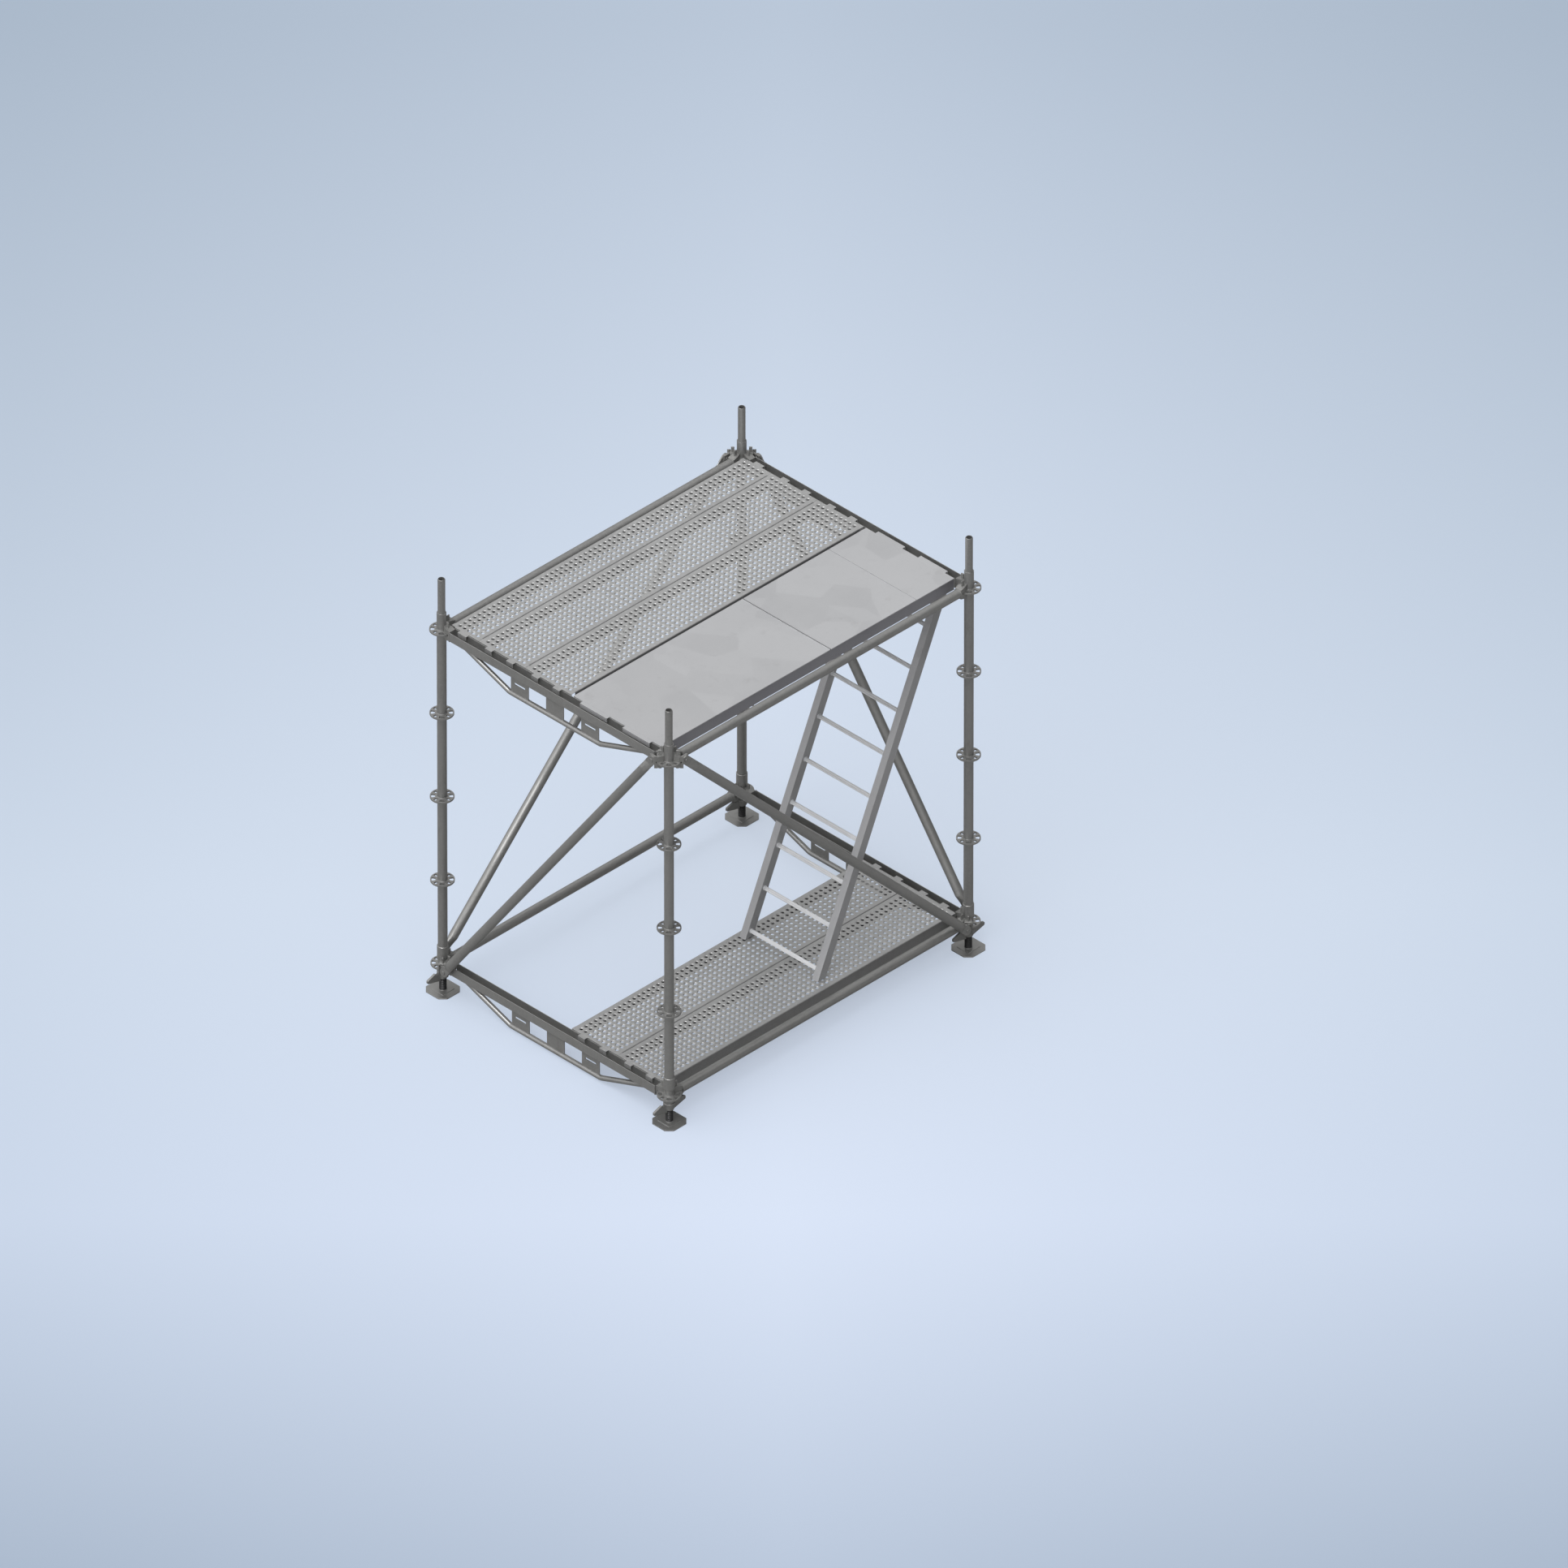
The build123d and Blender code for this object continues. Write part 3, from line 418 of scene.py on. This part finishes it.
def paint_seam_shade_along(material, x, reach):
    """Painted shade: the colour darkened along a line across the deck, standing in for the shade in the hinge
    seam.
    """
    tree = material.node_tree
    colour = tree.nodes["Principled BSDF"].inputs["Base Color"]
    unshaded_tone = colour.links[0].from_socket
    place = add_node(tree, "ShaderNodeSeparateXYZ", Vector=stretched(tree, (1, 1, 1)))
    offset = add_node(tree, "ShaderNodeMath", Value=place.outputs[0])
    offset.operation = "SUBTRACT"
    offset.inputs[1].default_value = x
    distance = add_node(tree, "ShaderNodeMath", Value=offset.outputs[0])
    distance.operation = "ABSOLUTE"
    # painted shade: darkens the colour towards the hinge line, where the seam's shade falls
    seam_shade = spread(tree, distance.outputs[0], reach * 0.7, reach, 1.0, 0.0)
    tree.links.new(blend_colours(tree, seam_shade, unshaded_tone, (0.14, 0.14, 0.145)), colour)


HINGE_X = sum(corner.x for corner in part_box("hatch_pin")) / 2
HINGE_SEAM_SHADE_REACH = 0.0032          # how far the painted seam shade reaches on each side of the hinge
# Painted shade along the hatch's hinge seam, on every surface with the aluminium plate material
paint_seam_shade_along(PLATE, HINGE_X, HINGE_SEAM_SHADE_REACH)


# ---- Perforated decks ----

def hole_cell():
    """Rings of one tread cell round its hole, from the tread's square to the underside's."""
    turn = [2 * pi * k / HOLE_SIDES for k in range(HOLE_SIDES)]
    square = []
    for angle in turn:
        reach = max(abs(cos(angle)), abs(sin(angle)))
        square.append((cos(angle) / reach * PITCH_X / 2, sin(angle) / reach * PITCH_Y / 2))
    rings = [[(x, y, 0.0) for x, y in square]]
    rings += [[(r * cos(a), r * sin(a), z) for a in turn] for r, z in HOLE_RINGS]
    rings.append([(x, y, -SHEET) for x, y in square])
    return rings


def add_perforated_field(mesh, centre_y, top, rows):
    """Field of cells with a wall round its edge."""
    points = []
    faces = []
    rings = hole_cell()
    for column in range(COLUMNS):
        for row in range(rows):
            x = (column - (COLUMNS - 1) / 2) * PITCH_X
            y = (row - (rows - 1) / 2) * PITCH_Y + centre_y
            first = len(points)
            points += [(x + dx, y + dy, top + dz) for ring in rings for dx, dy, dz in ring]
            for i in range(len(rings) - 1):
                for j in range(HOLE_SIDES):
                    here = first + i * HOLE_SIDES
                    k = (j + 1) % HOLE_SIDES
                    faces.append((here + j, here + k, here + HOLE_SIDES + k, here + HOLE_SIDES + j))
    data = bpy.data.meshes.new("field")
    data.from_pydata(points, [], faces)
    mesh.from_mesh(data)
    bpy.data.meshes.remove(data)
    bmesh.ops.remove_doubles(mesh, verts=mesh.verts, dist=1e-6)
    rim = [edge for edge in mesh.edges if len(edge.link_faces) == 1]
    bmesh.ops.bridge_loops(mesh, edges=rim)


def deck_piece(node):
    """Folded tread with drawn-down holes, on the outline of the CAD sheet and its side channels."""
    boxes = sorted(solid_boxes(node), key=lambda box: box[1].z)
    sheet = boxes[-1]
    side = boxes[0]
    centre_y = (sheet[0].y + sheet[1].y) / 2
    half_width = (sheet[1].y - sheet[0].y) / 2
    rows = int((2 * half_width - 2 * FIELD_MARGIN) // PITCH_Y) + 1
    field_x = COLUMNS * PITCH_X / 2
    field_y = rows * PITCH_Y / 2
    top = sheet[1].z
    bottom = side[0].z
    lip = side[1].y - side[0].y
    mesh = bmesh.new()
    sides = bmesh.new()
    add_perforated_field(mesh, centre_y, top, rows)
    fold = rounded_outline((
        (half_width - FOLD, top, 0), (half_width - FOLD, top - SHEET, 0),
        (half_width - SHEET, top - SHEET, FOLD - SHEET), (half_width - SHEET, bottom + SHEET, FOLD - SHEET),
        (half_width - lip, bottom + SHEET, HEM), (half_width - lip, bottom, HEM),
        (half_width, bottom, FOLD), (half_width, top, FOLD),
    ))
    plain = rounded_outline((
        (field_y, top, 0), (field_y, top - SHEET, 0),
        (half_width - FOLD, top - SHEET, 0), (half_width - FOLD, top, 0),
    ))
    margin = rounded_outline((
        (field_y, top, 0), (field_y, top - SHEET, 0), (half_width, top - SHEET, HEM), (half_width, top, HEM),
    ))
    end = rounded_outline((
        (field_x, top, 0), (field_x, top - SHEET, 0), (sheet[1].x, top - SHEET, HEM), (sheet[1].x, top, HEM),
    ))
    for hand in (-1, 1):
        add_prism(sides, fold, lambda u, v, w: (w, centre_y + hand * u, v), side[0].x, side[1].x)
        add_prism(mesh, plain, lambda u, v, w: (w, centre_y + hand * u, v), side[0].x, side[1].x)
        add_prism(mesh, margin, lambda u, v, w: (w, centre_y + hand * u, v), sheet[0].x, side[0].x)
        add_prism(mesh, margin, lambda u, v, w: (w, centre_y + hand * u, v), side[1].x, sheet[1].x)
        add_prism(mesh, end, lambda u, v, w: (hand * u, centre_y + w, v), -field_y, field_y)
    add_piece(f"{node}_tread", mesh, DECK_STEEL, [node], sharp_angle=17)
    # the sides take the darker copy of the deck steel, as painted shade
    add_piece(f"{node}_sides", sides, DECK_STEEL_DARKENED_AS_SHADE, [node], sharp_angle=17)


# ---- Screw jacks ----

def add_thread(mesh, x, y, low, high, radius):
    """Right-hand trapezoidal thread on an upright bar, between two heights, with closed ends."""
    root = radius - THREAD_DEPTH
    profile = ((0.0, root), (0.30, root), (0.5, radius), (0.80, radius))
    turns = ceil((high - low) / THREAD_PITCH) + 1
    columns = []
    for i in range(turns * THREAD_SIDES + 1):
        angle = 2 * pi * i / THREAD_SIDES
        column = []
        for share, reach in profile:
            z = low + THREAD_PITCH * (i / THREAD_SIDES - 1 + share)
            reach = reach if low < z < high else root
            z = min(max(z, low), high)
            column.append(mesh.verts.new((x + reach * cos(angle), y + reach * sin(angle), z)))
        columns.append(column)
    for i in range(len(columns) - 1):
        here, there = columns[i], columns[i + 1]
        for j in range(len(profile) - 1):
            mesh.faces.new((here[j], there[j], there[j + 1], here[j + 1]))
        if i + 1 + THREAD_SIDES < len(columns):
            above, beyond = columns[i + THREAD_SIDES], columns[i + 1 + THREAD_SIDES]
            mesh.faces.new((here[-1], there[-1], beyond[0], above[0]))
    turn = [2 * pi * k / THREAD_SIDES for k in range(THREAD_SIDES)]
    for z in (low, high):
        mesh.faces.new([mesh.verts.new((x + root * cos(a), y + root * sin(a), z)) for a in turn])
    bmesh.ops.remove_doubles(mesh, verts=mesh.verts, dist=1e-6)
    bmesh.ops.dissolve_degenerate(mesh, edges=mesh.edges, dist=1e-6)


def jack_pieces(corner):
    node = f"base_jack_{corner}"
    low, high = max(solid_boxes(node), key=lambda box: box[1].z)
    radius = (high.x - low.x) / 2
    centre = (low + high) / 2
    rounded_copy(
        node, GALVANISED, FORMED_EDGE, keep=lambda low, high: high.z < 0.1,
        name=f"foot_plate_{corner}",
    )
    thread = bmesh.new()
    add_thread(thread, centre.x, centre.y, low.z, high.z, radius)
    add_piece(f"spindle_{corner}", thread, DARK_STEEL, [node], sharp_angle=24)
    weld = bmesh.new()
    ring = circle_points(Vector((centre.x, centre.y, low.z + FOOT_BEAD_RISE)), UP, radius + FOOT_BEAD_RISE)
    add_bead(weld, ring, True, FOOT_BEAD)
    add_piece(f"foot_weld_{corner}", weld, GALVANISED, [node])


# ---- Ladder ----

def rung_pieces():
    """Ribbed rungs with a pressed collar at each end."""
    sides = RUNG_RIBS * len(RIB_WAVE)
    mesh = bmesh.new()
    for low, high in solid_boxes("ladder_rungs"):
        centre = (low + high) / 2
        radius = (high.z - low.z) / 2
        turn = [2 * pi * k / sides for k in range(sides)]
        reach = [radius - RIB_DEPTH + RIB_DEPTH * RIB_WAVE[k % len(RIB_WAVE)] for k in range(sides)]
        rows = []
        for y in (low.y, high.y):
            rows.append([
                mesh.verts.new((centre.x + r * cos(a), y, centre.z + r * sin(a))) for a, r in zip(turn, reach)
            ])
        grid_faces(mesh, rows, False, True)
        for row in rows:
            mesh.faces.new(row)
        for y, hand in ((low.y, 1), (high.y, -1)):
            collar = []
            for flare, along in RUNG_COLLAR:
                r = radius + flare
                collar.append([
                    mesh.verts.new((centre.x + r * cos(a), y + hand * along, centre.z + r * sin(a)))
                    for a in turn[::2]
                ])
            grid_faces(mesh, collar, False, True)
            mesh.faces.new(collar[0])
            mesh.faces.new(collar[-1])
    add_piece("ladder_rungs_piece", mesh, RUNG_METAL, ["ladder_rungs"], sharp_angle=20)


# ---- Welds ----

def standard_welds():
    """Beads above and below each rosette, round its standard or collar."""
    mesh = bmesh.new()
    low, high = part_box("standard_front_left")
    radius = (high.x - low.x) / 2
    for low, high in solid_boxes("rosettes"):
        centre = (low + high) / 2
        for z in (low.z - BEAD_RISE, high.z + BEAD_RISE):
            ring = circle_points(Vector((centre.x, centre.y, z)), UP, radius + BEAD_RISE)
            add_bead(mesh, ring, True, ROSETTE_BEAD)
    add_piece("rosette_welds", mesh, GALVANISED, ["rosettes"], replaced=False)


def ledger_welds():
    """Beads round the ledger tubes and round the channels, at their heads."""
    mesh = bmesh.new()
    for side in ("front", "rear"):
        for level in ("lower", "upper"):
            low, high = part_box(f"ledger_{side}_{level}")
            centre = (low + high) / 2
            radius = (high.z - low.z) / 2
            for x, hand in ((low.x, 1), (high.x, -1)):
                middle = Vector((x + hand * BEAD_SHIFT, centre.y, centre.z))
                add_bead(mesh, circle_points(middle, Vector((1, 0, 0)), radius + BEAD_RISE), True)
    for side in ("left", "right"):
        for level in ("lower", "upper"):
            low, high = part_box(f"channel_ledger_{side}_{level}")
            for y, hand in ((low.y, 1), (high.y, -1)):
                y += hand * BEAD_SHIFT
                path = (
                    Vector((low.x, y, high.z)), Vector((low.x, y, low.z)),
                    Vector((high.x, y, low.z)), Vector((high.x, y, high.z)),
                )
                for start, end in zip(path, path[1:]):
                    add_bead(mesh, line_points(start, end), False, PLATE_BEAD)
    add_piece("ledger_welds", mesh, GALVANISED, ["ledger_heads"], replaced=False)


def gusset_welds():
    """Beads along the gussets' top edges, against the channels' undersides."""
    mesh = bmesh.new()
    for low, high in solid_boxes("channel_ledger_gussets"):
        for x in (low.x, high.x):
            edge = line_points(Vector((x, low.y, high.z)), Vector((x, high.y, high.z)))
            add_bead(mesh, edge, False, PLATE_BEAD)
    add_piece("gusset_welds", mesh, GALVANISED, ["channel_ledger_gussets"], replaced=False)


# ---- Channel ledgers ----

def channel_piece(node):
    """Cold-formed channel with round folds, open at the top."""
    low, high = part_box(node)
    wall = CHANNEL_WALL
    fold = CHANNEL_FOLD
    half = (high.x - low.x) / 2
    centre_x = (low.x + high.x) / 2
    outline = rounded_outline((
        (-half, low.z, fold), (half, low.z, fold),
        (half, high.z, CHANNEL_HEM), (half - wall, high.z, CHANNEL_HEM),
        (half - wall, low.z + wall, fold - wall), (wall - half, low.z + wall, fold - wall),
        (wall - half, high.z, CHANNEL_HEM), (-half, high.z, CHANNEL_HEM),
    ))
    mesh = bmesh.new()
    add_prism(mesh, outline, lambda u, v, w: (centre_x + u, w, v), low.y, high.y)
    add_piece(f"{node}_piece", mesh, GALVANISED, [node], sharp_angle=40)


# ---- The whole bay ----

def build_frame_pieces():
    for corner in CORNERS:
        rounded_copy(f"standard_{corner}", GALVANISED, EDGE)
        rounded_copy(f"wing_nut_{corner}", CASTING, WING_EDGE, 3)
        jack_pieces(corner)
    rounded_copy("spigots", GALVANISED, EDGE)
    rounded_copy("base_collars", GALVANISED, EDGE)
    rounded_copy("rosettes", GALVANISED, ROSETTE_EDGE)
    for side in ("front", "rear"):
        for level in ("lower", "upper"):
            rounded_copy(f"ledger_{side}_{level}", GALVANISED, EDGE)
            rounded_copy(f"wedges_ledger_{side}_{level}", CASTING, WEDGE_EDGE)
    for side in ("left", "right"):
        for level in ("lower", "upper"):
            channel_piece(f"channel_ledger_{side}_{level}")
            rounded_copy(f"wedges_channel_{side}_{level}", CASTING, WEDGE_EDGE)
    for face in ("left", "front", "right", "rear"):
        rounded_copy(f"brace_{face}", GALVANISED, EDGE)
        rounded_copy(f"wedges_brace_{face}", CASTING, WEDGE_EDGE)
    rounded_copy("channel_ledger_struts", GALVANISED, EDGE)
    rounded_copy("channel_ledger_gussets", GALVANISED, EDGE)
    rounded_copy("ledger_heads", CASTING, CAST_EDGE)
    rounded_copy("brace_heads", CASTING, CAST_EDGE)
    rounded_copy("brace_rivets", CASTING, RIVET_EDGE, 3)
    standard_welds()
    ledger_welds()
    gusset_welds()


def build_decks():
    for node in (
        "deck_upper_narrow", "deck_upper_wide_rear", "deck_upper_wide_front",
        "deck_lower_rear", "deck_lower_front",
    ):
        deck_piece(node)
    rounded_copy("deck_hooks", DECK_STEEL, EDGE)
    # rails and crossbars take the darkened aluminium, as painted shade
    rounded_copy("access_deck_rails", ALUMINIUM_DARKENED_AS_SHADE, FORMED_EDGE)
    rounded_copy("access_deck_crossbars", ALUMINIUM_DARKENED_AS_SHADE, FORMED_EDGE)
    rounded_copy("access_deck_panels", PLATE, PLATE_EDGE)
    rounded_copy("access_deck_hooks", PLATE, EDGE)
    rounded_copy("hatch", PLATE, PLATE_EDGE)
    rounded_copy("hatch_pin", DARK_STEEL, HINGE_PIN_EDGE)


def build_ladder():
    rounded_copy("ladder_stiles", EXTRUSION, STILE_EDGE)
    rung_pieces()
    rounded_copy("ladder_hangers", GALVANISED, EDGE)
    rounded_copy("ladder_pins", DARK_STEEL, PIN_EDGE)


# ---- Studio ----

VIEW_WIDTH = 7.676           # width of the camera's frame at the object
VIEW_CENTRE = Vector((0.2716, -0.2716, 1.110))
LENS = 1500.0
SENSOR = 36.0
WINDOW = Vector((-0.55, 0.30, 0.78))
BACKDROP_CENTRE = 0.384      # the backdrop's brightest line, across the view
BACKDROP_DEPTH = (-8, 12)    # where its fading begins and ends, towards and away from the camera
BACKDROP_REACH = 3.82        # where its fading to the sides ends
FLOOR_REACH = 60.0
FLOOR_DROP = 0.0004          # keeps the floor just under the foot plates


def add_camera():
    data = bpy.data.cameras.new("camera")
    data.sensor_width = SENSOR
    data.lens = LENS
    camera = bpy.data.objects.new("camera", data)
    bpy.context.scene.collection.objects.link(camera)
    distance = LENS * VIEW_WIDTH / SENSOR
    back = Vector((-1, -1, 1)).normalized()
    camera.location = VIEW_CENTRE + back * distance
    camera.rotation_mode = "QUATERNION"
    camera.rotation_quaternion = (-back).to_track_quat("-Z", "Y")
    data.clip_start = distance / 4
    data.clip_end = distance * 4
    bpy.context.scene.camera = camera


def floor_material():
    """Pale blue floor that glows for the camera: a painted pool of light, brightest near the object and
    fading away from it, which also lightens the shadows on it.
    """
    material = bpy.data.materials.new("floor")
    material.use_nodes = True
    tree = material.node_tree
    shader = tree.nodes["Principled BSDF"]
    place = add_node(tree, "ShaderNodeSeparateXYZ", Vector=stretched(tree, (1, 1, 1)))
    across = tree.nodes.new("ShaderNodeMath")
    across.operation = "SUBTRACT"
    away = tree.nodes.new("ShaderNodeMath")
    for math_node in (across, away):
        tree.links.new(place.outputs[0], math_node.inputs[0])
        tree.links.new(place.outputs[1], math_node.inputs[1])
    diagonal = 2 ** 0.5
    near, far = (end * diagonal for end in BACKDROP_DEPTH)
    depth = add_node(tree, "ShaderNodeValToRGB", Fac=spread(tree, away.outputs[0], near, far, 0, 1))
    stops = (
        (0.149, (0.485, 0.565, 0.694)), (0.295, (0.70, 0.78, 0.93)),
        (0.4325, (0.71, 0.79, 0.92)), (0.81, (0.479, 0.558, 0.672)),
    )
    ramp = depth.color_ramp
    while len(ramp.elements) < len(stops):
        ramp.elements.new(0.5)
    for element, (position, colour) in zip(ramp.elements, stops):
        element.position = position
        element.color = (*colour, 1)
    offset = add_node(tree, "ShaderNodeMath", Value=across.outputs[0])
    offset.operation = "SUBTRACT"
    offset.inputs[1].default_value = BACKDROP_CENTRE * diagonal
    distance = add_node(tree, "ShaderNodeMath", Value=offset.outputs[0])
    distance.operation = "ABSOLUTE"
    sideways = spread(tree, distance.outputs[0], 0.0, BACKDROP_REACH * diagonal, 0.0, 1.0)
    colour = blend_colours(tree, sideways, (1, 1, 1), (0.83, 0.85, 0.86))
    seen = blend_colours(tree, 1.0, depth.outputs[0], colour, "MULTIPLY")
    # Painted light: camera rays see the floor glow with its gradient colour and a dimmed base colour, so
    # shadows on it fade; other rays see plain grey
    rays = tree.nodes.new("ShaderNodeLightPath")
    grey = (0.32, 0.32, 0.32)
    dimmed = blend_colours(tree, 1.0, seen, (0.45, 0.45, 0.45), "MULTIPLY")
    shown = blend_colours(tree, rays.outputs["Is Camera Ray"], grey, dimmed)
    tree.links.new(shown, shader.inputs["Base Color"])
    tree.links.new(seen, shader.inputs["Emission Color"])
    own_light = add_node(tree, "ShaderNodeMath", Value=rays.outputs["Is Camera Ray"])
    own_light.operation = "MULTIPLY"
    own_light.inputs[1].default_value = 0.555
    tree.links.new(own_light.outputs[0], shader.inputs["Emission Strength"])
    shader.inputs["Roughness"].default_value = 0.9
    shader.inputs["Specular IOR Level"].default_value = 0.0
    return material


def add_floor():
    mesh = bmesh.new()
    corners = [
        mesh.verts.new((x * FLOOR_REACH, y * FLOOR_REACH, -FLOOR_DROP))
        for x, y in ((-1, -1), (1, -1), (1, 1), (-1, 1))
    ]
    mesh.faces.new(corners)
    data = bpy.data.meshes.new("floor")
    mesh.to_mesh(data)
    mesh.free()
    data.materials.append(floor_material())
    floor = bpy.data.objects.new("floor", data)
    bpy.context.scene.collection.objects.link(floor)


def add_sun(name, towards, energy, angle):
    data = bpy.data.lights.new(name, "SUN")
    data.energy = energy
    data.angle = radians(angle)
    lamp = bpy.data.objects.new(name, data)
    bpy.context.scene.collection.objects.link(lamp)
    lamp.rotation_mode = "QUATERNION"
    lamp.rotation_quaternion = Vector(towards).to_track_quat("Z", "Y")
    return lamp


def add_light():
    """A white room brightest towards a window, a soft key light, and a small light that only glints."""
    world = bpy.data.worlds.new("studio")
    bpy.context.scene.world = world
    world.use_nodes = True
    tree = world.node_tree
    coordinates = tree.nodes.new("ShaderNodeTexCoord")
    towards_window = tree.nodes.new("ShaderNodeVectorMath")
    towards_window.operation = "DOT_PRODUCT"
    towards_window.inputs[1].default_value = WINDOW
    tree.links.new(coordinates.outputs["Generated"], towards_window.inputs[0])
    glow = spread(tree, towards_window.outputs["Value"], -0.2, 0.9, 0.18, 1.12)
    tree.links.new(glow, tree.nodes["Background"].inputs["Strength"])
    tree.nodes["Background"].inputs["Color"].default_value = (1.0, 1.0, 1.0, 1)
    add_sun("key", (-0.50, -0.10, 0.85), 1.0, 60)
    glint = add_sun("glint", (-0.50, -0.10, 0.85), 1.6, 4)
    glint.visible_diffuse = False


build_frame_pieces()
build_decks()
build_ladder()
bpy.context.scene.view_settings.view_transform = "Standard"
add_camera()
add_floor()
add_light()
